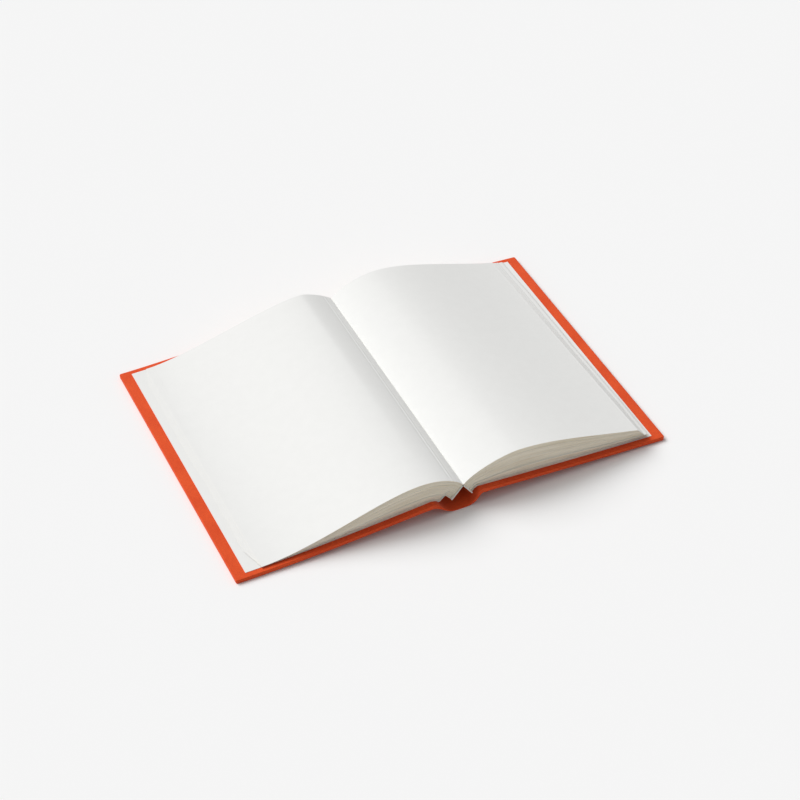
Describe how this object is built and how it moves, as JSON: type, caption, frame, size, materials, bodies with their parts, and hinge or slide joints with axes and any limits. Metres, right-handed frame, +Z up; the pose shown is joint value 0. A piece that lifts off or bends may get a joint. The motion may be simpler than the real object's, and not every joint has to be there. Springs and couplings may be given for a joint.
{
  "type": "open book",
  "caption": "Open hardcover book lying face up, with a cloth-covered case, blank pages that arch from the gutter, and covers that fold up with their pages.",
  "frame": {"origin": "on the surface it lies on, under the middle of the spread", "axes": "+X across the spread from the front cover to the back cover, +Y along the spine from tail to head, +Z up"},
  "size_m": [0.3354, 0.235, 0.0357],
  "materials": {
    "book_cloth": "orange woven book cloth, matt",
    "spine_card": "plain card, matt",
    "greyboard": "grey binder's board, matt",
    "endpaper": "white endpaper, matt",
    "page_paper": "white uncoated paper, matt",
    "lining_cloth": "white backing cloth and glue, matt"
  },
  "bodies": {
    "spine": {"spine_cloth": "book_cloth", "spine_inlay": "spine_card"},
    "front_cover": {"front_cover_cloth": "book_cloth", "front_board": "greyboard", "front_endpaper": "endpaper", "front_pages": "page_paper", "front_lining": "lining_cloth"},
    "back_cover": {"back_cover_cloth": "book_cloth", "back_board": "greyboard", "back_endpaper": "endpaper", "back_pages": "page_paper", "back_lining": "lining_cloth"}
  },
  "joints": [
    {"name": "front_cover_hinge", "type": "hinge", "parent": "spine", "child": "front_cover", "pos_m": [-0.0145, 0, 0.0135], "axis": [0, 1, 0], "range_deg": [0, 40]},
    {"name": "back_cover_hinge", "type": "hinge", "parent": "spine", "child": "back_cover", "pos_m": [0.017, 0, 0.0138], "axis": [0, -1, 0], "range_deg": [0, 40]}
  ]
}
